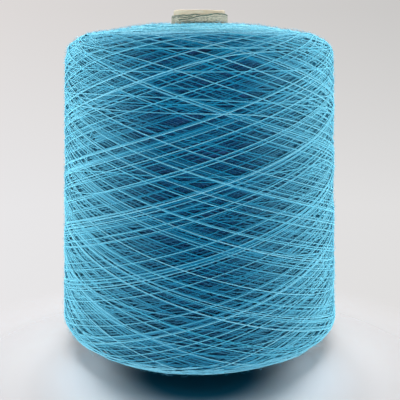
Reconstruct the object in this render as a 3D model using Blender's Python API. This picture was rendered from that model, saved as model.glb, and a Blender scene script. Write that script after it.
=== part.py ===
"""A cone of knitting yarn: a paper cone made of three plies, with one yarn cross-wound on it.

Everything is turned about Z. The paper cone stands on its wide base end at Z = 0, and its narrow nose
points up. The yarn starts a little above the base, so the cone carries the whole weight.
The plies lie in each other with PLY_GAP between them, and the yarn lies on the outermost one.
"""

import math

import bmesh
import bpy
from mathutils import Matrix, Vector

MM = 0.001

# The paper cone.
CONE_LENGTH = 170 * MM
CONE_HALF_ANGLE = math.radians(3.5)
NOSE_RADIUS = 12.7 * MM  # the board's outside, at the top of its nose
BOARD_WALL = 2.2 * MM
LINER_THICKNESS = 0.35 * MM
COVER_THICKNESS = 0.35 * MM
PLY_GAP = 0.3 * MM
LINER_BASE_SETBACK = 1.0 * MM
LINER_NOSE_SETBACK = 2.6 * MM
COVER_BASE_SETBACK = 1.2 * MM

# The cover is one sheet, rolled once round the board. It ends on its own start, as a lap.
COVER_LAP = math.radians(45)
COVER_END_ANGLE = math.radians(-133)  # where the free end of the lap lies, from +X
# How far below the nose the sheet's upper edge runs, from its start under the lap to its free end.
COVER_EDGE_DEPTHS = [2.1 * MM, 2.7 * MM, 3.4 * MM, 3.0 * MM, 1.6 * MM, 4.4 * MM]

# The wound yarn.
YARN_CLEARANCE = 0.3 * MM
YARN_BOTTOM = 7.4 * MM  # how much of the cone is left bare at its base
NOSE_SHOWING = 6.3 * MM  # how much of it stands out of the crown
YARN_BASE_RADIUS = 74.7 * MM
YARN_TOP_RADIUS = 66.6 * MM
FOOT_WIDTH = 4.4 * MM
FOOT_HEIGHT = 4.9 * MM
SHOULDER_WIDTH = 23.2 * MM
SHOULDER_HEIGHT = 12.4 * MM
CROWN_RISE = 3.1 * MM

# The transfer tail: the first turns of the yarn, wound on the bare end of the cone.
TAIL_THREAD = 0.65 * MM
TAIL_TURNS = 5
TAIL_BOTTOM = 2.4 * MM

# How finely the round shapes are divided.
TURNED_SEGMENTS = 96
SHEET_COLUMNS = 108
ARC_STEPS = 8
NOSE_STEPS = 6
CROWN_STEPS = 5

BOARD_COLOUR = (0.60, 0.50, 0.36)
LINER_COLOUR = (0.78, 0.72, 0.60)
COVER_COLOUR = (0.66, 0.64, 0.55)
YARN_COLOUR = (0.06, 0.42, 0.62)


def clear_scene():
    for found in list(bpy.data.objects):
        bpy.data.objects.remove(found)


def plain_material(name, colour, roughness):
    material = bpy.data.materials.new(name)
    material.use_nodes = True
    shader = material.node_tree.nodes["Principled BSDF"]
    shader.inputs["Base Color"].default_value = (*colour, 1.0)
    shader.inputs["Roughness"].default_value = roughness
    shader.inputs["Metallic"].default_value = 0.0
    return material


def board_radius(z):
    """The outside of the board. Every ply and the yarn's bore follow it."""
    return NOSE_RADIUS + (CONE_LENGTH - z) * math.tan(CONE_HALF_ANGLE)


def cover_inner_radius(z, turns):
    """The inside of the cover sheet, after so many turns from its start. It climbs onto itself."""
    return board_radius(z) + PLY_GAP + turns * (COVER_THICKNESS + PLY_GAP)


def wound_radius(z):
    """The inside of the yarn: clear of the cover at its thickest, where it laps."""
    lapped_turns = 1 + COVER_LAP / math.tau
    return cover_inner_radius(z, lapped_turns) + COVER_THICKNESS + YARN_CLEARANCE


def crown_edge_height():
    """Where the shoulder meets the crown."""
    return CONE_LENGTH - NOSE_SHOWING - CROWN_RISE


def yarn_side_radius(z):
    """The straight outside of the yarn, between its foot and its shoulder."""
    share = (z - YARN_BOTTOM) / (crown_edge_height() - YARN_BOTTOM)
    return YARN_BASE_RADIUS + (YARN_TOP_RADIUS - YARN_BASE_RADIUS) * share


def arc(centre, width, height, start, end, steps):
    """Points of an ellipse's arc as (radius, height), between two angles from the outward direction."""
    angles = [start + (end - start) * i / steps for i in range(steps + 1)]
    return [(centre[0] + width * math.cos(a), centre[1] + height * math.sin(a)) for a in angles]


def object_from(name, mesh_builder, material):
    """Recalculates the normals outwards, shades the mesh smooth and links it as one object."""
    bmesh.ops.recalc_face_normals(mesh_builder, faces=mesh_builder.faces)
    mesh = bpy.data.meshes.new(name)
    mesh_builder.to_mesh(mesh)
    mesh_builder.free()
    mesh.shade_smooth()
    mesh.set_sharp_from_angle(angle=math.radians(35))
    mesh.materials.append(material)
    made = bpy.data.objects.new(name, mesh)
    bpy.context.scene.collection.objects.link(made)
    return made


def turned(name, outline, material):
    """Spins a closed outline of (radius, height) points once about Z."""
    builder = bmesh.new()
    corners = [builder.verts.new((radius, 0.0, height)) for radius, height in outline]
    edges = [builder.edges.new((a, b)) for a, b in zip(corners, corners[1:] + corners[:1])]
    bmesh.ops.spin(
        builder,
        geom=corners + edges,
        cent=Vector((0, 0, 0)),
        axis=Vector((0, 0, 1)),
        dvec=Vector((0, 0, 0)),
        angle=math.tau,
        space=Matrix.Identity(4),
        steps=TURNED_SEGMENTS,
        use_merge=True,
        use_normal_flip=False,
        use_duplicate=False,
    )
    return object_from(name, builder, material)


def board():
    """The stiff ply. Its nose is rolled to a full round, and its base end is cut square."""
    half_wall = BOARD_WALL / 2
    nose_height = CONE_LENGTH - half_wall
    nose_centre = (board_radius(nose_height) - half_wall, nose_height)
    outline = [(board_radius(0) - BOARD_WALL, 0.0), (board_radius(0), 0.0)]
    outline += arc(nose_centre, half_wall, half_wall, 0.0, math.pi, NOSE_STEPS)
    return turned("core_board", outline, plain_material("board", BOARD_COLOUR, 0.85))


def liner():
    """The smooth ply inside the board, which slides over a peg."""
    low = LINER_BASE_SETBACK
    high = CONE_LENGTH - LINER_NOSE_SETBACK
    outside = BOARD_WALL + PLY_GAP
    inside = outside + LINER_THICKNESS
    outline = [
        (board_radius(low) - inside, low),
        (board_radius(low) - outside, low),
        (board_radius(high) - outside, high),
        (board_radius(high) - inside, high),
    ]
    return turned("core_liner", outline, plain_material("liner_paper", LINER_COLOUR, 0.7))


def cover_edge_depth(share):
    """A smooth curve through COVER_EDGE_DEPTHS, from the sheet's start, 0, to its free end, 1."""
    spans = len(COVER_EDGE_DEPTHS) - 1
    first = min(int(share * spans), spans - 1)
    local = share * spans - first
    eased = local * local * (3 - 2 * local)
    return COVER_EDGE_DEPTHS[first] * (1 - eased) + COVER_EDGE_DEPTHS[first + 1] * eased


def cover():
    """The printed ply: one sheet rolled round the board, with a lap and a wandering upper edge."""
    sweep = math.tau + COVER_LAP
    builder = bmesh.new()
    columns = []
    for i in range(SHEET_COLUMNS + 1):
        share = i / SHEET_COLUMNS
        turns = share * sweep / math.tau
        angle = COVER_END_ANGLE + sweep * (1 - share)
        heights = (COVER_BASE_SETBACK, CONE_LENGTH - cover_edge_depth(share))
        column = []
        for height, thickness in (
            (heights[0], 0.0),
            (heights[0], COVER_THICKNESS),
            (heights[1], COVER_THICKNESS),
            (heights[1], 0.0),
        ):
            radius = cover_inner_radius(height, turns) + thickness
            column.append(builder.verts.new((radius * math.cos(angle), radius * math.sin(angle), height)))
        columns.append(column)
    for here, there in zip(columns, columns[1:]):
        for a in range(4):
            b = (a + 1) % 4
            builder.faces.new((here[a], here[b], there[b], there[a]))
    builder.faces.new(columns[0])
    builder.faces.new(columns[-1])
    return object_from("core_cover", builder, plain_material("cover_paper", COVER_COLOUR, 0.8))


def yarn_package():
    """The yarn as one turned body: a flat foot, a tapered side, a round shoulder and a low crown."""
    shoulder_start = crown_edge_height() - SHOULDER_HEIGHT
    crown_edge = yarn_side_radius(shoulder_start) - SHOULDER_WIDTH
    foot_height = YARN_BOTTOM + FOOT_HEIGHT
    foot_centre = (yarn_side_radius(foot_height) - FOOT_WIDTH, foot_height)
    shoulder_centre = (crown_edge, shoulder_start)
    outline = [(wound_radius(YARN_BOTTOM), YARN_BOTTOM)]
    outline += arc(foot_centre, FOOT_WIDTH, FOOT_HEIGHT, -math.pi / 2, 0.0, ARC_STEPS)
    outline += arc(shoulder_centre, SHOULDER_WIDTH, SHOULDER_HEIGHT, 0.0, math.pi / 2, ARC_STEPS)
    bore = wound_radius(CONE_LENGTH - NOSE_SHOWING)
    for i in range(1, CROWN_STEPS + 1):
        share = i / CROWN_STEPS
        radius = crown_edge + (bore - crown_edge) * share
        outline.append((radius, crown_edge_height() + CROWN_RISE * (1 - (1 - share) ** 2)))
    return turned("yarn_package", outline, plain_material("yarn", YARN_COLOUR, 0.9))


def transfer_tail():
    """The first turns of the yarn, side by side on the bare end of the cone, as one flat ring."""
    low = TAIL_BOTTOM
    high = TAIL_BOTTOM + TAIL_TURNS * TAIL_THREAD
    outline = [
        (wound_radius(low), low),
        (wound_radius(low) + TAIL_THREAD, low),
        (wound_radius(high) + TAIL_THREAD, high),
        (wound_radius(high), high),
    ]
    return turned("transfer_tail", outline, plain_material("tail_yarn", YARN_COLOUR, 0.9))


def main():
    clear_scene()
    board()
    liner()
    cover()
    yarn_package()
    transfer_tail()


main()
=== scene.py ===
# %% [markdown]
# # A cone of yarn
#
# A knitting mill buys its yarn on paper cones. One length of yarn, several kilometres long, is led up and
# down a turning cone, so that each pass crosses the one before it. The package holds together by those
# crossings alone.
#
# The construction model already gives the sizes: a paper cone made of three plies, and the wound yarn as
# one plain solid. This script makes the looks. The plain solid gives way to strands, which are laid one
# after the other, much as a winding machine lays them.

# %% Load the construction model
import math

import bmesh
import bpy
import numpy as np
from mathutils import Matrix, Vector


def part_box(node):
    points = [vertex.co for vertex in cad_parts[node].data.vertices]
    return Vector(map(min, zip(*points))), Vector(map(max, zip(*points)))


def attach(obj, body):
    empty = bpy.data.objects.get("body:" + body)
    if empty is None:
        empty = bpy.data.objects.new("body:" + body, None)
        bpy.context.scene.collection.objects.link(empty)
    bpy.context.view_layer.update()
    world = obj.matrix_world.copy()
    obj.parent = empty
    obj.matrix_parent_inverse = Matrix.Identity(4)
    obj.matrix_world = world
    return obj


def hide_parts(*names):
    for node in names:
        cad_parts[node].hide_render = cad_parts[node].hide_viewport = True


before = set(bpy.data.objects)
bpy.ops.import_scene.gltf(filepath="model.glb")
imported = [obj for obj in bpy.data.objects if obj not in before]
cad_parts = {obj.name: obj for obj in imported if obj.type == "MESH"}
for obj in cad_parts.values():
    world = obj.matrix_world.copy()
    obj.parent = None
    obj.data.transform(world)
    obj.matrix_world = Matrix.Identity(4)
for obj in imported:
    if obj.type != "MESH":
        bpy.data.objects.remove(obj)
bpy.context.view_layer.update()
MM = 0.001
print("nodes:", sorted(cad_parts))

# %% [markdown]
# ## Node trees in plain Python
#
# Materials and Geometry Nodes are trees of nodes. Built call by call they read badly, so one small class
# adds a node with its settings and its inputs at once, and another wraps a number's socket, so that
# `1 - mask * 0.5` adds its Math nodes by itself. Both kinds of tree take the same Math node.


# %% A tree, and a number in it
class Tree:
    """A node tree, to which add() and maths() add nodes."""

    def __init__(self, tree):
        self.tree = tree
        tree.nodes.clear()

    def add(self, kind, settings=None, **inputs):
        """A new node. A setting is made first, and an input is a value, a socket or a Number."""
        node = self.tree.nodes.new(kind)
        for name, value in (settings or {}).items():
            if name == "stops":
                self.set_stops(node.color_ramp, value)
            else:
                setattr(node, name, value)
        for name, value in inputs.items():
            self.feed(self.find(node, name), value)
        return node

    def find(self, node, name):
        """The input called `name`, with _ for a space, or the input of that number, as in `_0`."""
        if name[1:].isdigit():
            return node.inputs[int(name[1:])]
        shown = name.replace("_", " ").lower()
        return next(socket for socket in node.inputs if socket.name.lower() == shown and socket.enabled)

    def feed(self, socket, value):
        if isinstance(value, Number):
            value = value.socket
        if isinstance(value, bpy.types.NodeSocket):
            self.tree.links.new(value, socket)
        else:
            socket.default_value = value

    def set_stops(self, ramp, stops):
        ramp.interpolation = "EASE"
        while len(ramp.elements) < len(stops):
            ramp.elements.new(0.5)
        for element, (place, colour) in zip(ramp.elements, stops):
            element.position = place
            element.color = (*colour, 1.0)

    def maths(self, operation, *operands):
        settings = {"operation": operation}
        inputs = {f"_{i}": operand for i, operand in enumerate(operands)}
        return Number(self, self.add("ShaderNodeMath", settings, **inputs).outputs[0])

    def number(self, node, output=0):
        return Number(self, node.outputs[output])


class Number:
    """A number's socket, with which sums are written."""

    def __init__(self, tree, socket):
        self.tree = tree
        self.socket = socket

    def __add__(self, other):
        return self.tree.maths("ADD", self, other)

    def __radd__(self, other):
        return self.tree.maths("ADD", other, self)

    def __sub__(self, other):
        return self.tree.maths("SUBTRACT", self, other)

    def __rsub__(self, other):
        return self.tree.maths("SUBTRACT", other, self)

    def __mul__(self, other):
        return self.tree.maths("MULTIPLY", self, other)

    def __rmul__(self, other):
        return self.tree.maths("MULTIPLY", other, self)

    def __truediv__(self, other):
        return self.tree.maths("DIVIDE", self, other)

    def to(self, low, high):
        """0 at low, 1 at high, and clamped outside them."""
        inputs = {"Value": self, "From_Min": low, "From_Max": high}
        return self.tree.number(self.tree.add("ShaderNodeMapRange", None, **inputs))


print("a tree and a number")

# %% [markdown]
# ## Colours of the yarn
#
# The yarn is dyed one even turquoise. What looks dark blue on the package is the same yarn, seen in the
# gaps between the outer strands: light that reaches the gaps has bounced from strand to strand, and each
# bounce keeps less red and green than blue. So each strand stores how deep it lies, and its colour is
# painted darker with that depth: painted shade, on top of the shade that the lamps cast. The colours were
# chosen together with the lamps, to match the photograph.
#
# A strand also carries its length from its start, the place round the strand and a tint of its own. Two
# plies are twisted round each other, so the valley between them climbs round the strand. That pattern is
# made of sines and cosines of the two places, so it has no seam. The valley is painted darker, as painted
# shade, and also bumped.
#
# Where one looks along the package's surface, loose fibres catch the light and hide the dark gaps. The
# fibres made further down are too few for that. A Layer Weight on the package's own outward direction
# adds the rest as a painted sheen: a paler colour mixed into the base colour, which also weakens the
# painted depth shade. It moves with the viewer, as sheen does. On the crown the painted sheen is paler
# still, as painted light from above. A haze of many more fibres would stay in the shapes instead.

# %% Values of the yarn
YARN_DIAMETER = 0.52 * MM
TWIST_PITCH = 2.4 * MM
YARN_COLOUR = (0.36, 0.72, 0.86)
# the darker end of each strand's own tint; also the painted shade in the plies' valley and the deep skin's
# painted sheen
YARN_DARKER = (0.026, 0.37, 0.55)
# painted shade: the colours that strands take partly and fully down between the outer strands
YARN_PAINTED_MID_SHADE = (0.003, 0.17, 0.31)
YARN_PAINTED_DEEP_SHADE = (0.0002, 0.03, 0.10)
SHEEN_TINT = (0.18, 0.78, 1.0)
# painted sheen where one looks along the package; the crown's is paler, as painted light from above
PAINTED_SHEEN_COLOUR = (0.22, 0.68, 0.85)
CROWN_PAINTED_SHEEN_COLOUR = (0.38, 0.84, 0.95)
PAINTED_SHEEN_SHARE = 0.7
PAINTED_SHEEN_FACING = (0.06, 0.7)  # the Layer Weight's values at which the painted sheen begins and is full
CROWN_BELOW_TOP = (4.5 * MM, 2.5 * MM)  # between these the side's painted sheen gives way to the crown's


# %% Helpers for materials
def new_material(name, roughness):
    """A material with its tree, its shader node and its way out."""
    material = bpy.data.materials.new(name)
    material.use_nodes = True
    tree = Tree(material.node_tree)
    shader = tree.add("ShaderNodeBsdfPrincipled", None, Roughness=roughness)
    tree.add("ShaderNodeOutputMaterial", None, Surface=shader.outputs[0])
    return material, tree, shader


def blend_colours(tree, share, first, second):
    """The Mix node for colours. Its sockets are found by their place: share 0, colours 6 and 7."""
    colours = [(*c, 1.0) if isinstance(c, tuple) else c for c in (first, second)]
    mixed = tree.add("ShaderNodeMix", {"data_type": "RGBA"}, _0=share, _6=colours[0], _7=colours[1])
    return mixed.outputs[2]


def object_height(tree):
    place = tree.add("ShaderNodeTexCoord").outputs["Object"]
    return tree.number(tree.add("ShaderNodeSeparateXYZ", None, Vector=place), 2)


def object_level(tree):
    """The object's own coordinates, with 0 for the height."""
    place = tree.add("ShaderNodeTexCoord").outputs["Object"]
    return tree.add("ShaderNodeVectorMath", {"operation": "MULTIPLY"}, _0=place, _1=(1, 1, 0)).outputs[0]


def object_noise(tree, scale, detail=2.0, stretch=(1, 1, 1)):
    """Noise on the object's own coordinates, about 0.5 on average."""
    place = tree.add("ShaderNodeTexCoord").outputs["Object"]
    mapping = tree.add("ShaderNodeMapping", None, Vector=place, Scale=stretch)
    noise = tree.add("ShaderNodeTexNoise", None, Vector=mapping.outputs[0], Scale=scale, Detail=detail)
    return tree.number(noise)


def bump(tree, height, strength, distance):
    inputs = {"Strength": strength, "Distance": distance, "Height": height}
    return tree.add("ShaderNodeBump", None, **inputs).outputs[0]


def crown_share(tree):
    """0 on the package's side, and 1 on its crown."""
    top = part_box("yarn_package")[1][2]
    return object_height(tree).to(top - CROWN_BELOW_TOP[0], top - CROWN_BELOW_TOP[1])


def grazing(tree):
    """0 where one looks straight at the package's side or crown, and 1 where one looks along it."""
    normalize = {"operation": "NORMALIZE"}
    outward = tree.add("ShaderNodeVectorMath", normalize, _0=object_level(tree)).outputs[0]
    between = {"_0": crown_share(tree), "_4": outward, "_5": (0, 0, 1)}
    normal = tree.add("ShaderNodeMix", {"data_type": "VECTOR"}, **between).outputs[1]
    facing = tree.add("ShaderNodeLayerWeight", None, Blend=0.5, Normal=normal).outputs["Facing"]
    return Number(tree, facing).to(*PAINTED_SHEEN_FACING)


# %% The strand's material
def strand_material():
    """Two-ply dyed yarn, soft at its surface, with painted shade by depth and in the plies' valley, and a
    painted sheen.
    """
    material, tree, shader = new_material("dyed_yarn", 0.82)
    along = tree.number(tree.add("ShaderNodeAttribute", {"attribute_name": "along"}), 2)
    tint = tree.number(tree.add("ShaderNodeAttribute", {"attribute_name": "tint"}), 2)
    around = tree.add("ShaderNodeAttribute", {"attribute_name": "around"}).outputs["Vector"]
    parts = tree.add("ShaderNodeSeparateXYZ", None, Vector=around)
    cosine = tree.number(parts, 0)
    sine = tree.number(parts, 1)
    turn = along * (math.tau / TWIST_PITCH)
    double_cosine = cosine * cosine - sine * sine
    double_sine = 2 * sine * cosine
    ply = double_cosine * tree.maths("COSINE", turn) - double_sine * tree.maths("SINE", turn)
    valley = ply.to(-0.1, -1.0)
    cloud = object_noise(tree, 60.0)
    stored = tree.number(tree.add("ShaderNodeAttribute", {"attribute_name": "depth"}), 2)
    # painted shade by depth, weakened where the painted sheen takes over
    depth = stored * (1 - grazing(tree) * PAINTED_SHEEN_SHARE)
    dyed = blend_colours(tree, tint * 0.8 + cloud * 0.4 - 0.05, YARN_DARKER, YARN_COLOUR)
    # painted shade in the valley between the plies
    shaded = blend_colours(tree, valley * 0.45, dyed, YARN_DARKER)
    under = blend_colours(tree, depth.to(0.0, 0.4), shaded, YARN_PAINTED_MID_SHADE)
    darkened = blend_colours(tree, depth.to(0.4, 1.0), under, YARN_PAINTED_DEEP_SHADE)
    # painted sheen where one looks along the package, paler on the crown as painted light from above
    haze = blend_colours(tree, crown_share(tree), PAINTED_SHEEN_COLOUR, CROWN_PAINTED_SHEEN_COLOUR)
    hazy = blend_colours(tree, grazing(tree) * PAINTED_SHEEN_SHARE, darkened, haze)
    tree.feed(shader.inputs["Base Color"], hazy)
    shader.inputs["Specular IOR Level"].default_value = 0.08
    shader.inputs["Sheen Weight"].default_value = 0.3
    shader.inputs["Sheen Roughness"].default_value = 0.55
    shader.inputs["Sheen Tint"].default_value = (*SHEEN_TINT, 1.0)
    tree.feed(shader.inputs["Normal"], bump(tree, ply, 0.5, 0.06 * MM))
    return material


YARN_MATERIAL = strand_material()
print("material:", YARN_MATERIAL.name)

# %% [markdown]
# ## The winding's own map
#
# The package's outer face is one surface of revolution: foot, side, shoulder and crown. A point on it has
# two places: how far round it is, and how far along the outline. The outline is read from the plain
# solid, so the strands fit whatever size that has. A third number is the height above the surface.

# %% Read the outline
ROW = 0.3 * MM


def read_outline(node):
    """(radius, height) along the node's outline, from the bore's lower edge round to its upper edge."""
    points = np.array([vertex.co[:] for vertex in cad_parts[node].data.vertices])
    seam = points[(abs(points[:, 1]) < 1e-5) & (points[:, 0] > 0)][:, [0, 2]]
    seam = np.unique(seam.round(6), axis=0)
    middle = (seam.min(axis=0) + seam.max(axis=0)) / 2
    angle = np.arctan2(seam[:, 1] - middle[1], seam[:, 0] - middle[0])
    return seam[np.argsort(angle)]


def soften(values, sigma, wrap=False):
    """A Gaussian blur along the first axis, with sigma counted in steps."""
    reach = int(3 * sigma) + 1
    kernel = np.exp(-0.5 * (np.arange(-reach, reach + 1) / sigma) ** 2)
    kernel /= kernel.sum()
    padded = np.pad(values, reach, mode="wrap" if wrap else "edge")
    return np.convolve(padded, kernel, mode="valid")


corners = read_outline("yarn_package")
distance = np.concatenate([[0], np.cumsum(np.linalg.norm(np.diff(corners, axis=0), axis=1))])
ROWS = int(distance[-1] / ROW) + 1
row_distance = np.linspace(0, distance[-1], ROWS)
row_radius = soften(np.interp(row_distance, distance, corners[:, 0]), 5)
row_height = soften(np.interp(row_distance, distance, corners[:, 1]), 5)
slope = np.stack([np.gradient(row_radius), np.gradient(row_height)], axis=1)
slope /= np.linalg.norm(slope, axis=1, keepdims=True)
row_normal = np.stack([slope[:, 1], -slope[:, 0]], axis=1)
COLUMNS = int(math.tau * row_radius.max() / ROW)
print(f"outline of {len(corners)} corners, {distance[-1] / MM:.1f} mm long; {ROWS} rows, {COLUMNS} columns")

# %% Where the side begins and ends
upright = row_normal[:, 1]
SIDE_LOW = row_distance[np.argmax(upright > -0.30)]
SIDE_HIGH = row_distance[ROWS - 1 - np.argmax(upright[::-1] < 0.30)]
CROWN_LOW = row_distance[ROWS - 1 - np.argmax(upright[::-1] < 0.93)]
FOOT_HIGH = row_distance[np.argmax(upright > -0.93)]
MEAN_RADIUS = float(np.mean(row_radius[(row_distance > SIDE_LOW) & (row_distance < SIDE_HIGH)]))
print(f"side from {SIDE_LOW / MM:.1f} to {SIDE_HIGH / MM:.1f} mm, crown from {CROWN_LOW / MM:.1f} mm")

# %% [markdown]
# ## Winding the yarn
#
# The machine leads the yarn up and down while the cone turns. One pass climbs at about 18 degrees and goes
# a little more than once round. At each end it turns back in a gentle arc, never at quite the same place.
# The photograph also has strands that lie nearly level, across the others, and doesn't tell what laid
# them so. Here the yarn's guide lingers now and then for a part of a turn, a guess that gives such strands.
#
# The passes are laid in order on a map of heights. A strand rests on the highest strand under it, spans
# the gaps between crossings because it is taut, and presses in a little because yarn is soft. Then it
# leaves its own height on the map for those that come after it.

# %% Plan the passes
PASSES = 1500
TURNS_PER_PASS = 1.1039
RATIO_DRIFT = 0.0018
LOWEST_TURN = SIDE_LOW - 0.5 * MM
HIGHEST_TURN = CROWN_LOW + 5.5 * MM
ANGLE = 17.5
SHORTEST_ARC = 26
ARC_SPREAD = 46
LONG_ARC_SHARE = 0.08
LONG_ARC = (200, 850)
STOPS_PER_PASS = 0.2
STOP_LENGTH = (300, 900)  # in columns, as the arcs, the jitter and the softness are
STOP_SOFTNESS = 60
LAST_STOP = 1000  # none starts so near the end
PASS_JITTER = 10
WANDER = 0.45 * MM
WANDER_SOFTNESS = 170
PATH_SOFTNESS = 12
SPARE_TRAVEL = 1.2
rng = np.random.default_rng(11)


def drifting(count, keep, size):
    """A random walk that is drawn back to 0, with that standard deviation."""
    values = np.zeros(count)
    for i in range(1, count):
        values[i] = keep * values[i - 1] + math.sqrt(1 - keep * keep) * rng.normal()
    return values * size


def lingering(count, stops):
    """How far the guide has come after each column: 1 for each, but hardly anything while it lingers."""
    slow = np.zeros(count)
    for start in rng.integers(0, count - LAST_STOP, stops):
        slow[start : start + rng.integers(*STOP_LENGTH)] = 1
    return np.cumsum(1 - soften(slow, STOP_SOFTNESS))


def plan_passes():
    """The distance along the outline for every column that the yarn passes, and where passes start."""
    turns = TURNS_PER_PASS + drifting(PASSES, 0.985, RATIO_DRIFT)
    steps = COLUMNS * turns + rng.normal(0, PASS_JITTER, PASSES)
    led = np.concatenate([[0], np.cumsum(steps)])
    travel = lingering(int(led[-1] * SPARE_TRAVEL), int(PASSES * STOPS_PER_PASS))
    places = np.searchsorted(travel, led)
    samples = np.arange(places[-1])
    edges = np.where(np.arange(PASSES + 1) % 2 == 0, LOWEST_TURN, HIGHEST_TURN)
    path = np.interp(travel[samples], led, edges)
    rise = (HIGHEST_TURN - LOWEST_TURN) / (COLUMNS * TURNS_PER_PASS)
    half = SHORTEST_ARC + rng.exponential(ARC_SPREAD, PASSES + 1)
    long = rng.random(PASSES + 1) < LONG_ARC_SHARE
    half = np.where(long, rng.uniform(*LONG_ARC, PASSES + 1), half)
    for number, (middle, reach) in enumerate(zip(places, half)):
        arc = slice(max(0, int(middle - reach)), int(middle + reach) + 1)
        cut = rise * ((samples[arc] - middle) ** 2 + reach**2) / (2 * reach)
        if number % 2 == 0:
            path[arc] = np.maximum(path[arc], LOWEST_TURN + cut)
        else:
            path[arc] = np.minimum(path[arc], HIGHEST_TURN - cut)
    wander = soften(rng.normal(0, 1, len(samples)), WANDER_SOFTNESS)
    return soften(path, PATH_SOFTNESS) + wander / wander.std() * WANDER, places


path, starts = plan_passes()
print(f"{PASSES} passes, {len(path) / COLUMNS:.0f} turns")

# %% Lay strands on the map of heights
PRESS = 0.66
SPAN = 9
TAUT = 12
FILL = 0.46
RELIEF = 0.8
heights = np.zeros((ROWS, COLUMNS), np.float32)
covered = YARN_DIAMETER / (math.tau * MEAN_RADIUS * math.sin(math.radians(ANGLE)))
RISE = covered * YARN_DIAMETER * math.pi / 4 / FILL
print(f"each pass raises the package by {RISE / MM:.4f} mm, all of them by {RISE * PASSES / MM:.1f} mm")


def lay(columns, distances, wound, sink=0.0):
    """Lays one strand on what is wound so far. Returns the height of its middle at each of its columns."""
    rows = np.clip((distances / ROW).astype(int), 2, ROWS - 3)
    radius = YARN_DIAMETER / 2
    beside = np.maximum(heights[rows - 1, columns], heights[rows + 1, columns])
    under = np.maximum(heights[rows, columns], beside)
    padded = np.pad(under, SPAN, mode="edge")
    spanned = np.max(np.lib.stride_tricks.sliding_window_view(padded, 2 * SPAN + 1), axis=1)
    middle = soften(wound + RELIEF * (spanned - wound), TAUT) + radius * PRESS - sink
    for step, drop in ((0, 0.0), (-1, 0.12), (1, 0.12)):
        top = middle + radius * (PRESS - drop)
        heights[rows + step, columns] = np.maximum(heights[rows + step, columns], top)
    return middle


# %% Plan the arcs on the crown and the foot
ARC_SPAN = 20.0 * MM
ARC_START = 0.62
ARC_COUNT = 2300


def plan_arcs(low, high, count):
    """(time, columns, distances, sink) of arcs where passes turn back, from ARC_START to the end, 1."""
    arcs = []
    inside = (row_distance >= low) & (row_distance <= high)
    chance = row_radius * inside
    picks = rng.choice(ROWS, count, p=chance / chance.sum())
    times = np.linspace(ARC_START, 1, count)
    for time, row in zip(times, picks):
        half = int(ARC_SPAN * rng.uniform(0.7, 1.5) / (math.tau * row_radius[row]) * COLUMNS)
        offsets = np.arange(-half, half + 1)
        across = offsets / half
        bend = across * rng.normal(0, 1.6) + (across**2) * rng.normal(0.4, 1.1)
        distances = np.clip(row_distance[row] + bend * MM, ROW * 3, row_distance[-1] - ROW * 3)
        columns = (rng.integers(COLUMNS) + offsets) % COLUMNS
        arcs.append((time, columns, distances, (across**2) * rng.uniform(0.3, 0.9) * MM))
    return arcs


crown_plan = plan_arcs(CROWN_LOW + 2.0 * MM, row_distance[-1] - 0.6 * MM, ARC_COUNT)
foot_plan = plan_arcs(0.6 * MM, SIDE_LOW + 2 * MM, ARC_COUNT)
print(len(crown_plan), "arcs on the crown,", len(foot_plan), "on the foot")

# %% Wind the package
middles = np.zeros(len(path), np.float32)
all_columns = np.arange(len(path)) % COLUMNS
crown_arcs = []
foot_arcs = []
for number, (start, end) in enumerate(zip(starts[:-1], starts[1:])):
    for plan, laid in ((crown_plan, crown_arcs), (foot_plan, foot_arcs)):
        while len(laid) < len(plan) and plan[len(laid)][0] <= (number + 1) / PASSES:
            time, columns, distances, sink = plan[len(laid)]
            laid.append((columns, distances, lay(columns, distances, RISE * PASSES * time, sink)))
    piece = slice(start, min(end, len(path)))
    middles[piece] = lay(all_columns[piece], path[piece], RISE * number)
middles = soften(middles, 3)
row_level = np.percentile(heights, 97, axis=1)
row_level[:5] = row_level[5]
row_level[-5:] = row_level[-6]
row_level = soften(row_level, 14)
print(f"wound up to {row_level.min() / MM:.1f} to {row_level.max() / MM:.1f} mm above the first pass")


# %% [markdown]
# ## From the map to strands
#
# Most of what was laid is buried under later passes. Only stretches near the surface are worth making,
# so each strand is cut into the stretches that can be seen. A stretch becomes a line of points. Geometry
# Nodes turn those lines into tubes: the tree makes each line a curve, measures its length, and sweeps a
# small circle along it.

# %% Points of a stretch
SEEN_DEPTH = 3.3 * MM
SUNK = 0.25 * MM  # keeps the highest strands at the plain solid's face


def place(columns, distances, middle):
    """World points for places on the map."""
    angle = columns * (math.tau / COLUMNS)
    radius = np.interp(distances, row_distance, row_radius)
    height = np.interp(distances, row_distance, row_height)
    out_radius = np.interp(distances, row_distance, row_normal[:, 0])
    out_height = np.interp(distances, row_distance, row_normal[:, 1])
    lift = middle - np.interp(distances, row_distance, row_level) - SUNK
    radius = radius + out_radius * lift
    height = height + out_height * lift
    return np.stack([radius * np.cos(angle), radius * np.sin(angle), height], axis=1)


def is_seen(columns, distances, middle):
    """Whether a strand shows here or close by, and is not too deep."""
    rows = np.clip((distances / ROW).astype(int), 2, ROWS - 3)
    under = heights[rows, columns] - middle
    near = soften((under < 0.7 * YARN_DIAMETER).astype(np.float32), 5) > 0.02
    return near & (under < SEEN_DEPTH)


def spread_highest(values, reach, axis):
    """Each cell's highest neighbour within reach. Columns wrap round, and rows don't matter at their ends."""
    highest = values.copy()
    for step in range(1, reach + 1):
        highest = np.maximum(highest, np.maximum(np.roll(values, step, axis), np.roll(values, -step, axis)))
    return highest


TOP_ROWS = 11
TOP_COLUMNS = 15
TOP = spread_highest(spread_highest(heights, TOP_ROWS, 0), TOP_COLUMNS, 1)
DEPTH_FREE = 0.3  # in yarn diameters under the highest strands near by: no painted shade down to here
DEPTH_SPAN = 2.6  # and the painted shade is darkest so much deeper
DEPTH_POWER = 0.62


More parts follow.
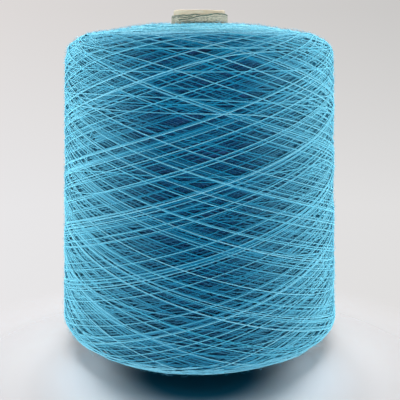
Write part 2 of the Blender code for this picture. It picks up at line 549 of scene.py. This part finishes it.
def depth_of(columns, distances, middle):
    """How deep strands lie under the highest ones near them: 0 on top, 1 where light hardly reaches."""
    rows = np.clip((distances / ROW).astype(int), 2, ROWS - 3)
    under = (TOP[rows, columns] - middle) / YARN_DIAMETER
    under = soften(under, 3) if len(under) > 8 else under
    return np.clip((under - DEPTH_FREE) / DEPTH_SPAN, 0, 1) ** DEPTH_POWER


def stretches(seen, shortest=8):
    """(start, end) of each run of True values."""
    edges = np.flatnonzero(np.diff(np.concatenate([[False], seen, [False]]).astype(int)))
    return [(a, b) for a, b in zip(edges[::2], edges[1::2]) if b - a >= shortest]


def thin_out(distances, coarse, fine):
    """Which samples to keep: one in `coarse` on the side, and one in `fine` where the outline bends."""
    bent = np.interp(distances, row_distance, np.gradient(upright))
    share = np.where(np.abs(bent) > 0.0025, 1 / fine, 1 / coarse)
    count = np.floor(np.cumsum(share))
    kept = np.diff(count, prepend=-1) > 0
    kept[0] = kept[-1] = True
    return kept


# %% The tree that sweeps tubes
def tube_tree():
    """Edges in, tubes out, with the attributes that the yarn's material reads."""
    group = bpy.data.node_groups.new("tubes_along_edges", "GeometryNodeTree")
    tree = Tree(group)
    kinds = {"Geometry": "Geometry", "Radius": "Float", "Sides": "Int", "Material": "Material"}
    for name, kind in kinds.items():
        group.interface.new_socket(name, in_out="INPUT", socket_type=f"NodeSocket{kind}")
    group.interface.new_socket("Geometry", in_out="OUTPUT", socket_type="NodeSocketGeometry")
    given = tree.add("NodeGroupInput").outputs
    curve = tree.add("GeometryNodeMeshToCurve", None, Mesh=given["Geometry"])
    length = tree.add("GeometryNodeSplineParameter").outputs["Length"]
    along = {"Geometry": curve.outputs[0], "Name": "along", "Value": length}
    measured = tree.add("GeometryNodeStoreNamedAttribute", None, **along)
    circle = tree.add("GeometryNodeCurvePrimitiveCircle", None, Resolution=given["Sides"], Radius=1.0)
    position = tree.add("GeometryNodeInputPosition").outputs[0]
    around = {"Geometry": circle.outputs[0], "Name": "around", "Value": position}
    profile = tree.add("GeometryNodeStoreNamedAttribute", {"data_type": "FLOAT_VECTOR"}, **around)
    swept = tree.add(
        "GeometryNodeCurveToMesh",
        None,
        Curve=measured.outputs[0],
        Profile_Curve=profile.outputs[0],
        Scale=given["Radius"],
        Fill_Caps=True,
    )
    smooth = tree.add("GeometryNodeSetShadeSmooth", None, Geometry=swept.outputs[0])
    real = tree.add("GeometryNodeRealizeInstances", None, Geometry=smooth.outputs[0])
    dressed = tree.add("GeometryNodeSetMaterial", None, Geometry=real.outputs[0], Material=given["Material"])
    tree.add("NodeGroupOutput", None, Geometry=dressed.outputs[0])
    return group


TUBES = tube_tree()


# %% Make tubes from lines
def new_object(name, data):
    made = bpy.data.objects.new(name, data)
    bpy.context.scene.collection.objects.link(made)
    return made


def set_input(modifier, name, value):
    """Sets a modifier's input by its socket's identifier."""
    sockets = modifier.node_group.interface.items_tree
    found = next(s for s in sockets if s.name == name and s.in_out == "INPUT")
    modifier[found.identifier] = value


def tubes(name, lines, radius, sides, material):
    """One mesh object of tubes. A line is its points, its depth at each of them, and its tint."""
    points = np.concatenate([line[0] for line in lines])
    sizes = np.array([len(line[0]) for line in lines])
    ends = np.cumsum(sizes)
    first = np.arange(len(points) - 1)
    first = np.setdiff1d(first, ends[:-1] - 1)
    mesh = bpy.data.meshes.new(name + "_lines")
    mesh.vertices.add(len(points))
    mesh.vertices.foreach_set("co", points.astype(np.float32).ravel())
    mesh.edges.add(len(first))
    mesh.edges.foreach_set("vertices", np.stack([first, first + 1], axis=1).astype(np.int32).ravel())
    tint = mesh.attributes.new("tint", "FLOAT", "POINT")
    tint.data.foreach_set("value", np.repeat([line[2] for line in lines], sizes).astype(np.float32))
    depth = mesh.attributes.new("depth", "FLOAT", "POINT")
    depth.data.foreach_set("value", np.concatenate([line[1] for line in lines]).astype(np.float32))
    mesh.update()
    guide = new_object(name + "_lines", mesh)
    modifier = guide.modifiers.new("tubes", "NODES")
    modifier.node_group = TUBES
    for key, value in (("Radius", radius), ("Sides", sides), ("Material", material)):
        set_input(modifier, key, value)
    bpy.context.view_layer.update()
    evaluated = guide.evaluated_get(bpy.context.evaluated_depsgraph_get())
    made = new_object(name, bpy.data.meshes.new_from_object(evaluated))
    made.data.name = name
    bpy.data.objects.remove(guide)
    return made


# %% Cut the passes into seen stretches
ARC_DEPTH_SHARE = 0.32  # the turns on the crown and the foot get less painted depth shade
# and paler tints than the passes: painted light on the crown and the foot's rim
ARC_TINT = (0.6, 1)


def line_of(columns, distances, middle, tint):
    return place(columns, distances, middle), depth_of(columns, distances, middle), tint


def pass_lines():
    """Lines of the passes, the first laid first."""
    lines = []
    tint = 0.5 + drifting(len(starts), 0.3, 0.28)
    seen = is_seen(all_columns, path, middles)
    for number, (start, end) in enumerate(zip(starts[:-1], starts[1:])):
        end = min(end + 1, len(path))
        for a, b in stretches(seen[start:end]):
            piece = slice(start + a, start + b)
            kept = thin_out(path[piece], coarse=17, fine=8)
            samples = np.arange(piece.start, piece.stop)[kept]
            lines.append(line_of(all_columns[samples], path[samples], middles[samples], tint[number]))
    return lines


def arc_lines(arcs):
    lines = []
    for columns, distances, middle in arcs:
        seen = is_seen(columns, distances, middle)
        for a, b in stretches(seen, 6):
            chosen = np.linspace(a, b - 1, 8).astype(int)
            tint = rng.uniform(*ARC_TINT)
            points, depth, _ = line_of(columns[chosen], distances[chosen], middle[chosen], tint)
            lines.append((points, depth * ARC_DEPTH_SHARE, tint))
    return lines


MOST_TRIANGLES = 190_000
SIDES = 5


def make_pieces(name, lines):
    """Shares the lines out over pieces that stay under the most triangles."""
    pieces = []
    costs = np.array([(len(line[0]) - 1) * SIDES * 2 + 2 * (SIDES - 2) for line in lines])
    groups = (np.cumsum(costs) / MOST_TRIANGLES).astype(int)
    for group in range(groups.max() + 1):
        chosen = [lines[i] for i in np.flatnonzero(groups == group)]
        piece = tubes(f"{name}_{group + 1}", chosen, YARN_DIAMETER / 2, SIDES, YARN_MATERIAL)
        pieces.append(piece)
        print(f"{piece.name}: {len(chosen)} stretches, {costs[groups == group].sum()} triangles")
    return pieces


wound = make_pieces("wound_yarn", pass_lines())
crown = make_pieces("crown_turns", arc_lines(crown_arcs))
foot = make_pieces("foot_turns", arc_lines(foot_arcs))

# %% [markdown]
# ## The mass of yarn under the outer strands
#
# Between the strands one looks down on the passes below them. They are too deep to be seen as more than
# dark stripes, so one skin of revolution under the strands is enough. Its dark colour is painted shade.

# %% Turned skins
def mesh_object(name, points, faces, material):
    """A closed smooth mesh with its faces turned outwards."""
    mesh = bpy.data.meshes.new(name)
    mesh.from_pydata(points.tolist(), [], faces)
    builder = bmesh.new()
    builder.from_mesh(mesh)
    bmesh.ops.recalc_face_normals(builder, faces=builder.faces)
    builder.to_mesh(mesh)
    builder.free()
    mesh.shade_smooth()
    mesh.set_sharp_from_angle(angle=math.radians(40))
    mesh.materials.append(material)
    return new_object(name, mesh)


def turned(name, radius, height, columns, material):
    """Turns a closed outline about Z. Radius and height are a row each, or have a column for each angle."""
    radius = np.broadcast_to(radius.reshape(len(radius), -1), (len(radius), columns))
    height = np.broadcast_to(height.reshape(len(height), -1), (len(height), columns))
    angle = np.arange(columns) * math.tau / columns
    points = np.stack([radius * np.cos(angle), radius * np.sin(angle), height], axis=2).reshape(-1, 3)
    faces = []
    for i in range(len(radius)):
        low, high = i * columns, (i + 1) % len(radius) * columns
        for here in range(columns):
            there = (here + 1) % columns
            faces.append((low + here, low + there, high + there, high + here))
    return mesh_object(name, points, faces, material)


# %% The inner skin
SKIN_DEPTH = 3.1 * MM
# painted shade: the yarn's turquoise darkened for how little light reaches so deep, with random paler patches
SKIN_DARK = (0.0003, 0.025, 0.09)
SKIN_PALE = (0.0006, 0.06, 0.17)


def deep_material():
    """Yarn so deep between the strands that little light reaches it. Its dark colour is painted shade, and a
    painted sheen pales it where one looks along the package.
    """
    material, tree, shader = new_material("deep_yarn", 0.9)
    cloud = object_noise(tree, 900.0, 1.0, (1, 1, 2.5))
    colour = blend_colours(tree, cloud.to(0.35, 0.65), SKIN_DARK, SKIN_PALE)
    hazy = blend_colours(tree, grazing(tree) * PAINTED_SHEEN_SHARE, colour, YARN_DARKER)
    tree.feed(shader.inputs["Base Color"], hazy)
    return material


picked = np.linspace(0, ROWS - 1, 150).astype(int)
skin_radius = row_radius[picked] - row_normal[picked, 0] * SKIN_DEPTH
skin_height = row_height[picked] - row_normal[picked, 1] * SKIN_DEPTH
inner = turned("inner_yarn", skin_radius, skin_height, 192, deep_material())
print("inner skin of", len(inner.data.polygons), "faces")

# %% [markdown]
# ## Loose fibres
#
# Spun yarn is never smooth: fibre ends stand off it by a millimetre or so. One by one they are hardly
# seen, but together they soften the outline and make the package paler where one looks along its surface.
# They are made as the strands are, from lines of points, only much thinner and with a curl. Their colour
# is a painted sheen: pale where one looks along the package, and seen from straight ahead as dark as the
# painted shade in the gaps, or pale specks would show there.

# %% The fibres' material and their lines
FIBRE_COUNT = 21000
FIBRE_RADIUS = 0.03 * MM
FIBRE_SHEEN_COLOUR = (0.16, 0.58, 0.75)
LONG_FIBRE_SHEEN_COLOUR = (0.34, 0.62, 0.68)
LONG_FIBRE_RADIUS = 0.06 * MM
FIBRE_POINTS = 4
FIBRES_IN_PIECE = 7000
FIBRE_LENGTH = 1.9 * MM
LONG_FIBRE_COUNT = 150
LONG_FIBRE_LENGTH = 4.5 * MM


def fibre_material(name, colour):
    material, tree, shader = new_material(name, 0.7)
    # painted sheen: from the gaps' painted shade seen straight on, to the fibres' colour seen along the
    # package
    tree.feed(shader.inputs["Base Color"], blend_colours(tree, grazing(tree), YARN_PAINTED_MID_SHADE, colour))
    return material


def fibre_lines(count, rows, longest, stand):
    """Curled lines that start between the outer strands and stand off the surface."""
    lines = []
    row = rng.choice(rows, count)
    column = rng.integers(COLUMNS, size=count)
    length = longest * rng.uniform(0.35, 1.0, count)
    drift = rng.normal(0, 1, (count, 2))
    curl = rng.normal(0, 0.8, (count, 2))
    share = np.linspace(0, 1, FIBRE_POINTS)
    for i in range(count):
        lean = share * drift[i, 0] + share**2 * curl[i, 0]
        side = share * drift[i, 1] + share**2 * curl[i, 1]
        distances = np.clip(row_distance[row[i]] + side * length[i] * 0.6, 0, row_distance[-1])
        columns = column[i] + lean * length[i] * 0.6 / row_radius[row[i]] * COLUMNS / math.tau
        start = TOP[row[i], column[i]] - YARN_DIAMETER * 0.8
        middle = start + share * (1.4 - 0.4 * share) * length[i] * rng.uniform(0.3, 1.0) * stand
        lines.append((place(columns, distances, middle), np.zeros(FIBRE_POINTS), 0.5))
    return lines


FIBRE_MATERIAL = fibre_material("loose_fibres", FIBRE_SHEEN_COLOUR)
outside = np.flatnonzero((row_distance > FOOT_HIGH - 12 * MM) & (row_distance < row_distance[-1] - 4 * MM))
fuzz_lines = fibre_lines(FIBRE_COUNT, outside, FIBRE_LENGTH, stand=0.9)
fuzz = []
for start in range(0, FIBRE_COUNT, FIBRES_IN_PIECE):
    chosen = fuzz_lines[start : start + FIBRES_IN_PIECE]
    fuzz.append(tubes(f"fuzz_{len(fuzz) + 1}", chosen, FIBRE_RADIUS, 3, FIBRE_MATERIAL))
rim = np.flatnonzero((row_distance > FOOT_HIGH - 2 * MM) & (row_distance < FOOT_HIGH + 2.5 * MM))
long_lines = fibre_lines(LONG_FIBRE_COUNT, rim, LONG_FIBRE_LENGTH, stand=0.6)
long_material = fibre_material("long_fibres", LONG_FIBRE_SHEEN_COLOUR)
fuzz.append(tubes("long_fibres", long_lines, LONG_FIBRE_RADIUS, 4, long_material))
print("fuzz:", [len(piece.data.polygons) for piece in fuzz], "faces")

# %% [markdown]
# ## The paper cone
#
# The cone is rolled from many layers of glued paper. Its nose is turned in, so it ends in a smooth round
# lip, here with fine creases on the inside. The wide end is cut, and shows the layers as rings.
#
# The construction model's board has the right size, but its lip has a handful of facets. The same outline
# is read from it, divided finely and turned again, with the creases pressed in.

# %% Paper materials
PAPER_PALE = (0.55, 0.47, 0.36)
PAPER_WORN = (0.50, 0.43, 0.30)
BOARD_LAYER = (0.56, 0.48, 0.35)
BOARD_CUT = (0.36, 0.30, 0.21)
LINER_BROWN = (0.50, 0.40, 0.26)
LINER_DARK = (0.38, 0.29, 0.18)
LINER_WORN = (0.62, 0.53, 0.38)
LAYER = 0.36 * MM


def cone_slope(node):
    """How much narrower the node gets for each metre of height, from its outline's longest edge."""
    outline = read_outline(node)
    edges = np.roll(outline, -1, axis=0) - outline
    longest = edges[np.argmax(np.linalg.norm(edges, axis=1))]
    return abs(longest[0] / longest[1])


SLOPE = cone_slope("core_board")


def paper_bump(tree, strength):
    """Fibres of the paper, and soft unevenness of the rolled layers."""
    fine = object_noise(tree, 2600.0, 3.0)
    broad = object_noise(tree, 260.0, 2.0, (1, 1, 0.3))
    return bump(tree, fine * 0.4 + broad * 0.6, strength, 0.12 * MM)


def board_material():
    """Cream paper outside, and rings of glued layers where the wide end is cut."""
    material, tree, shader = new_material("rolled_board", 0.78)
    mottled = blend_colours(tree, object_noise(tree, 420.0, 4.0).to(0.35, 0.68), PAPER_PALE, PAPER_WORN)
    height = object_height(tree)
    length = {"operation": "LENGTH"}
    radius = tree.number(tree.add("ShaderNodeVectorMath", length, _0=object_level(tree)), 1)
    wave = tree.maths("SINE", (radius + height * SLOPE) * (math.tau / LAYER))
    rings = blend_colours(tree, wave.to(0.2, 0.9), BOARD_LAYER, BOARD_CUT)
    cut = height.to(0.5 * MM, 0.2 * MM)
    tree.feed(shader.inputs["Base Color"], blend_colours(tree, cut, mottled, rings))
    shader.inputs["Specular IOR Level"].default_value = 0.35
    tree.feed(shader.inputs["Normal"], paper_bump(tree, 0.35))
    return material


def liner_material():
    """Smooth brown paper, with paler streaks as pegs would rub along it."""
    material, tree, shader = new_material("liner_kraft", 0.6)
    patches = object_noise(tree, 500.0, 4.0).to(0.3, 0.7)
    mottled = blend_colours(tree, patches, LINER_BROWN, LINER_DARK)
    streaks = object_noise(tree, 320.0, 3.0, (1, 1, 0.05)).to(0.55, 0.75)
    tree.feed(shader.inputs["Base Color"], blend_colours(tree, streaks * 0.6, mottled, LINER_WORN))
    tree.feed(shader.inputs["Normal"], paper_bump(tree, 0.25))
    return material


# %% The rolled board
CREASES = 44
CREASE_DEPTH = 0.14 * MM
LIP_HEIGHT = 3.0 * MM
FINE_HEIGHT = 6 * MM
FINE_STEP = 0.5 * MM
BOARD_COLUMNS = 264


def refined(outline, low, step):
    """The closed outline with a point about every step above the height `low`, and one at that height."""
    points = []
    for here, there in zip(outline, np.roll(outline, -1, axis=0)):
        levels = here[1] + (there[1] - here[1]) * np.linspace(0, 1, 2000)
        fine = np.concatenate([[0], np.cumsum(np.where(levels[1:] > low, 1.0, 0.001))])
        length = np.linalg.norm(there - here) * (levels > low).mean()
        count = max(1, math.ceil(length / step))
        shares = np.interp(np.linspace(0, fine[-1], count + 1)[:-1], fine, np.linspace(0, 1, 2000))
        points += [here + (there - here) * share for share in shares]
    return np.array(points)


def rolled_board():
    outline = read_outline("core_board")
    top = outline[:, 1].max()
    points = refined(outline, top - FINE_HEIGHT, FINE_STEP)
    near = np.clip((points[:, 1] - (top - LIP_HEIGHT)) / LIP_HEIGHT, 0, 1)
    lip_radius = points[points[:, 1] > top - 1.2 * MM][:, 0].mean()
    inside = np.clip((lip_radius + 0.3 * MM - points[:, 0]) / (1.0 * MM), 0, 1) * near
    angle = np.arange(BOARD_COLUMNS) * math.tau / BOARD_COLUMNS
    crease = np.abs(np.sin(angle * CREASES / 2 + 0.8 * np.sin(3 * angle)))
    swell = 0.10 * MM * np.sin(2 * angle + 0.6) + 0.05 * MM * np.sin(5 * angle + 2.0)
    pressed = inside[:, None] * (crease - 0.6) * CREASE_DEPTH
    radius = points[:, :1] + near[:, None] * swell * 0.6 + pressed
    height = points[:, 1:] - near[:, None] * (0.12 * MM - swell)
    return turned("rolled_board", radius, height, BOARD_COLUMNS, board_material())


board = rolled_board()
print("board:", len(board.data.polygons), "faces, taper", round(math.degrees(math.atan(SLOPE)), 2), "degrees")

# %% [markdown]
# ## The printed cover
#
# The outermost layer is a printed sheet, rolled once round the cone with a lap. Its upper edge wanders in
# the photograph. The construction model's sheet gives that edge, and the sheet is built again from it,
# finely enough for the edge to lift a little from the board.
#
# The dark lines below the edge follow the sheet and not the room, so each point stores how far it lies below
# the edge.

# %% Read the sheet from the construction model
def read_sheet():
    """Angle, outward offset from the board's taper, and height of the upper edge, along the sheet."""
    points = np.array([vertex.co[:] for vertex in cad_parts["core_cover"].data.vertices])
    points = np.unique(points.round(6), axis=0)
    upper = points[points[:, 2] > points[:, 2].mean()]
    angle = np.degrees(np.arctan2(upper[:, 1], upper[:, 0])).round(1) % 360
    offset = np.hypot(upper[:, 0], upper[:, 1]) + upper[:, 2] * SLOPE
    edge = []
    for way in np.unique(angle):
        ring = np.flatnonzero(angle == way)
        ring = ring[np.argsort(offset[ring])]
        edge += [(offset[k], way, upper[k, 2], offset[k] - offset[j]) for j, k in zip(ring[::2], ring[1::2])]
    edge = np.array(sorted(edge))
    return np.unwrap(np.radians(edge[:, 1])), edge[:, 0], edge[:, 2], float(np.median(edge[:, 3]))


sheet_angle, sheet_offset, sheet_top, SHEET_THICKNESS = read_sheet()
turn_count = abs(sheet_angle[-1] - sheet_angle[0]) / math.tau
print(f"sheet of {len(sheet_angle)} columns, {turn_count:.3f} turns, {SHEET_THICKNESS / MM:.2f} mm thick")

# %% The cover's material
PRINT_GROUND = (0.46, 0.40, 0.30)
PRINT_GROUND_PALE = (0.54, 0.47, 0.35)
PRINT_SPECKLE = (0.17, 0.19, 0.15)
DARK_LINE_AND_SPECKLE = (0.025, 0.060, 0.042)


def cover_material():
    """Grey-green speckled print, and a dark line and a fainter one a little below the sheet's edge."""
    material, tree, shader = new_material("printed_cover", 0.62)
    below = tree.number(tree.add("ShaderNodeAttribute", {"attribute_name": "below"}), 2)
    wander = object_noise(tree, 420.0, 2.0)
    depth = below * 1000 + (wander - 0.5) * 0.9
    large = object_noise(tree, 1500.0, 2.0).to(0.50, 0.60)
    small = object_noise(tree, 4200.0, 1.0).to(0.55, 0.62)
    patches = object_noise(tree, 300.0).to(0.3, 0.7)
    ground = blend_colours(tree, patches, PRINT_GROUND, PRINT_GROUND_PALE)
    speckled = blend_colours(tree, large * 0.75, ground, PRINT_SPECKLE)
    speckled = blend_colours(tree, small * 0.55, speckled, DARK_LINE_AND_SPECKLE)
    # a dark line and a fainter one, at set depths below the sheet's edge
    line = depth.to(0.05, 0.2) * depth.to(0.8, 0.6)
    second = depth.to(1.3, 1.4) * depth.to(1.7, 1.55)
    lined = blend_colours(tree, line * 0.95 + second * 0.5, speckled, DARK_LINE_AND_SPECKLE)
    edged = blend_colours(tree, below.to(0.15 * MM, 0.02 * MM), lined, PAPER_WORN)
    tree.feed(shader.inputs["Base Color"], edged)
    tree.feed(shader.inputs["Normal"], paper_bump(tree, 0.25))
    return material


# %% Roll the cover
COVER_COLUMNS = 520
RAGGED = 0.05 * MM
EDGE_LIFT = 0.09 * MM


def rolled_cover():
    columns = COVER_COLUMNS
    share = np.linspace(0, 1, columns)
    spots = np.linspace(0, 1, len(sheet_angle))
    angle = np.interp(share, spots, sheet_angle)
    offset = np.interp(share, spots, sheet_offset)
    ragged = soften(rng.normal(0, 1, columns), 2.5)
    top = np.interp(share, spots, sheet_top) + ragged / ragged.std() * RAGGED
    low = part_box("core_cover")[0][2]
    depths = np.array([0, 0.1, 0.3, 0.6, 1, 1.5, 2.2, 3, 4, 6]) * MM
    lift = soften(rng.normal(0, 1, columns), 14)
    lift = np.abs(lift / lift.std()) * EDGE_LIFT
    rows = [(top - depth, offset + lift * math.exp(-depth / (0.8 * MM)), depth) for depth in depths]
    lower = [low + (top - depths[-1] - low) * part for part in (0.8, 0.6, 0.4, 0.2, 0.05, 0)]
    rows += [(height, offset, None) for height in lower]
    points = []
    below = []
    for outside in (True, False):
        for height, out, _ in rows if outside else rows[::-1]:
            radius = out - height * SLOPE - (0 if outside else SHEET_THICKNESS)
            points.append(np.stack([radius * np.cos(angle), radius * np.sin(angle), height], axis=1))
            below.append(top - height)
    ring = len(points)
    points = np.concatenate(points)
    faces = []
    for row in range(ring):
        here, there = row * columns, (row + 1) % ring * columns
        faces += [(here + k, here + k + 1, there + k + 1, there + k) for k in range(columns - 1)]
    for end in (0, columns - 1):
        for row in range(ring // 2 - 1):
            far = ring - 1 - row
            faces.append(tuple(k * columns + end for k in (row, row + 1, far - 1, far)))
    made = mesh_object("printed_cover", points, faces, cover_material())
    stored = made.data.attributes.new("below", "FLOAT", "POINT")
    stored.data.foreach_set("value", np.concatenate(below).astype(np.float32))
    return made


cover = rolled_cover()
print("cover:", len(cover.data.polygons), "faces")

# %% Dress the liner
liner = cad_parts["core_liner"]
liner.data.materials.clear()
liner.data.materials.append(liner_material())
print("liner:", liner.data.materials[0].name)

# %% [markdown]
# ## The transfer tail
#
# Before the package is wound, a few turns are laid on the bare end of the cone, so that the yarn's first
# end can be found and tied to the next cone. The photograph hides them, so these are a guess. The turns
# are a plain helix, and from the last one the yarn climbs into the package.

# %% Wind the tail
TAIL_CLIMB = 4.4 * MM
CLIMB_TURNS = 0.45


def tail_line():
    low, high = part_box("transfer_tail")
    thread = YARN_DIAMETER
    turns = int((high[2] - low[2]) / thread)
    around = np.linspace(0, turns + CLIMB_TURNS, int(turns * 48))
    height = low[2] + thread / 2 + np.minimum(around, turns) * thread * 1.02
    climb = np.clip(around - turns, 0, 1) / CLIMB_TURNS
    height = height + climb**1.5 * TAIL_CLIMB
    base = high[0] + low[2] * SLOPE - thread / 2
    radius = base - height * SLOPE + climb * 0.5 * MM
    angle = around * math.tau + 2.2
    points = np.stack([radius * np.cos(angle), radius * np.sin(angle), height], axis=1)
    return points, np.zeros(len(points)), 0.6


tail = tubes("transfer_turns", [tail_line()], YARN_DIAMETER / 2, 12, YARN_MATERIAL)
print("tail:", len(tail.data.polygons), "faces")

# %% [markdown]
# ## Back to the construction model
#
# Nothing on a cone of yarn moves by itself, so every piece rides on the one body, and the plain nodes
# that the pieces stand in for are hidden. The liner keeps its plain shape.

# %% Ride and replace
for piece in wound + crown + foot + fuzz + [inner]:
    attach(piece, "root")
    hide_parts("yarn_package")
for piece, node, slot in (
    (board, "core_board", "board"),
    (cover, "core_cover", "cover_paper"),
    (tail, "transfer_tail", "tail_yarn"),
):
    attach(piece, "root")
    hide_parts(node)
print(len(wound + crown + foot + fuzz), "pieces of strands and fibres ride with the cone")

# %% [markdown]
# ## Camera, floor and light
#
# The camera stands close and looks slightly down. Its distance, height, tilt and lens were fitted to the
# package's outline in the photograph.
#
# The photograph has a dark shadow in front of the foot, tinted by the yarn, on a nearly white ground that
# turns grey upwards. The lamps light the floor too, but its colour, as the camera sees it, is a ramp from
# the foot outwards: dark blue-green, then pale, then clear, so that the world's backdrop shows. So most
# of that shadow is painted and not cast, and it stays on the floor's -Y side when the view turns. Light
# that bounces from the floor to the object finds it plain and pale.

# %% The camera
CAMERA_DISTANCE = 341.1 * MM
CAMERA_HEIGHT = 160.4 * MM
CAMERA_DOWN = 14.5
CAMERA_ASIDE = 0.35 * MM
LENS = 59.2
SENSOR = 36
camera = new_object("camera", bpy.data.cameras.new("camera"))
camera.location = (CAMERA_ASIDE, -CAMERA_DISTANCE, CAMERA_HEIGHT)
camera.rotation_euler = (math.radians(90 - CAMERA_DOWN), 0, 0)
camera.data.lens = LENS
camera.data.sensor_width = SENSOR
camera.data.clip_start = 0.01
bpy.context.scene.camera = camera
print("camera:", LENS, "mm lens, down by", CAMERA_DOWN, "degrees")

# %% The floor
FLOOR_SIZE = 3.0
FLOOR_LIT = (0.82, 0.82, 0.82)
# the middle of the painted shadow and of the floor's fade, in front of the foot
FLOOR_MIDDLE = (0, -0.055, 0)
FLOOR_SQUEEZE = (0.85, 1, 1)  # makes the ramp's rings wider than deep
FLOOR_FADE = (0.05, 0.13)  # the distances between which the backdrop takes over
FLOOR_REACH = 0.1  # the distance at which the ramp ends
# what the camera sees of the floor: a painted shadow, dark blue-green at the foot, then pale, then greyer
# outwards
FLOOR_PAINTED_SHADOW_RAMP = (
    (0.19, (0.008, 0.085, 0.14)),
    (0.46, (0.90, 0.92, 0.96)),
    (0.68, (0.68, 0.655, 0.66)),
    (1.00, (0.50, 0.48, 0.49)),
)
floor_mesh = bpy.data.meshes.new("floor")
half = FLOOR_SIZE / 2
floor_corners = [(-half, -half, 0), (half, -half, 0), (half, half, 0), (-half, half, 0)]
floor_mesh.from_pydata(floor_corners, [], [(0, 1, 2, 3)])
floor = new_object("floor", floor_mesh)


def floor_material():
    """A plain pale floor for light. The camera sees a ramp instead, with a painted shadow at the foot, and
    then the backdrop.
    """
    material = bpy.data.materials.new("pale_floor")
    material.use_nodes = True
    tree = Tree(material.node_tree)
    place = tree.add("ShaderNodeTexCoord").outputs["Object"]
    squeezed = tree.add("ShaderNodeVectorMath", {"operation": "MULTIPLY"}, _0=place, _1=FLOOR_SQUEEZE)
    between = {"_0": squeezed.outputs[0], "_1": FLOOR_MIDDLE}
    distance = tree.number(tree.add("ShaderNodeVectorMath", {"operation": "DISTANCE"}, **between), 1)
    camera_ray = tree.number(tree.add("ShaderNodeLightPath"))
    share = distance / FLOOR_REACH
    shown = tree.add("ShaderNodeValToRGB", {"stops": FLOOR_PAINTED_SHADOW_RAMP}, Fac=share).outputs["Color"]
    matt = tree.add("ShaderNodeBsdfDiffuse", None, Color=blend_colours(tree, camera_ray, FLOOR_LIT, shown))
    clear = tree.add("ShaderNodeBsdfTransparent")
    faded = distance.to(*FLOOR_FADE) * camera_ray
    mixed = tree.add("ShaderNodeMixShader", None, Fac=faded, _1=matt.outputs[0], _2=clear.outputs[0])
    tree.add("ShaderNodeOutputMaterial", None, Surface=mixed.outputs[0])
    return material


floor_mesh.materials.append(floor_material())
print("floor:", FLOOR_SIZE, "m wide")


# %% The lamps
def softbox(name, place, target, size, power):
    """A rectangular soft lamp that faces a point."""
    lamp = bpy.data.lights.new(name, "AREA")
    lamp.shape = "RECTANGLE"
    lamp.size, lamp.size_y = size
    lamp.energy = power
    made = new_object(name, lamp)
    made.location = place
    aim = Vector(target) - Vector(place)
    made.rotation_euler = aim.to_track_quat("-Z", "Y").to_euler()
    print(f"{name}: {power} W from {place}")


softbox("left_softbox", place=(-0.80, 0.14, 0.32), target=(0, 0, 0.08), size=(0.5, 0.6), power=4.8)
softbox("right_softbox", place=(0.80, 0.14, 0.32), target=(0, 0, 0.08), size=(0.5, 0.6), power=4.4)
softbox("top_softbox", place=(0, 0.58, 0.84), target=(0, 0, 0.1), size=(1.2, 0.3), power=22)
softbox("front_fill", place=(0, -1.1, 0.04), target=(0, 0, 0.09), size=(1.2, 0.07), power=11)

# %% The world
WORLD_LIGHT = (0.85, 0.92, 1.0, 1)
WORLD_STRENGTH = 0.09
BACKDROP_LOW = ((0.81, 0.80, 0.81), (0.75, 0.74, 0.735))
BACKDROP_HIGH = ((0.73, 0.70, 0.69), (0.59, 0.58, 0.57))


def studio_world():
    """Dim light from all round. The camera sees a pale backdrop, darker upwards and towards +X."""
    world = bpy.data.worlds.new("studio")
    world.use_nodes = True
    tree = Tree(world.node_tree)
    light = tree.add("ShaderNodeBackground", None, Color=WORLD_LIGHT, Strength=WORLD_STRENGTH)
    way = tree.add("ShaderNodeTexCoord").outputs["Generated"]
    parts = tree.add("ShaderNodeSeparateXYZ", None, Vector=way)
    aside = tree.number(parts, 0).to(-0.3, 0.3)
    low = blend_colours(tree, aside, *BACKDROP_LOW)
    high = blend_colours(tree, aside, *BACKDROP_HIGH)
    shown = blend_colours(tree, tree.number(parts, 2).to(-0.25, 0.03), low, high)
    backdrop = tree.add("ShaderNodeBackground", None, Color=shown, Strength=1.0)
    camera_ray = tree.number(tree.add("ShaderNodeLightPath"))
    mixed = tree.add("ShaderNodeMixShader", None, Fac=camera_ray, _1=light.outputs[0], _2=backdrop.outputs[0])
    tree.add("ShaderNodeOutputWorld", None, Surface=mixed.outputs[0])
    return world


bpy.context.scene.world = studio_world()
bpy.context.scene.view_settings.view_transform = "Standard"
print("world:", bpy.context.scene.world.name)
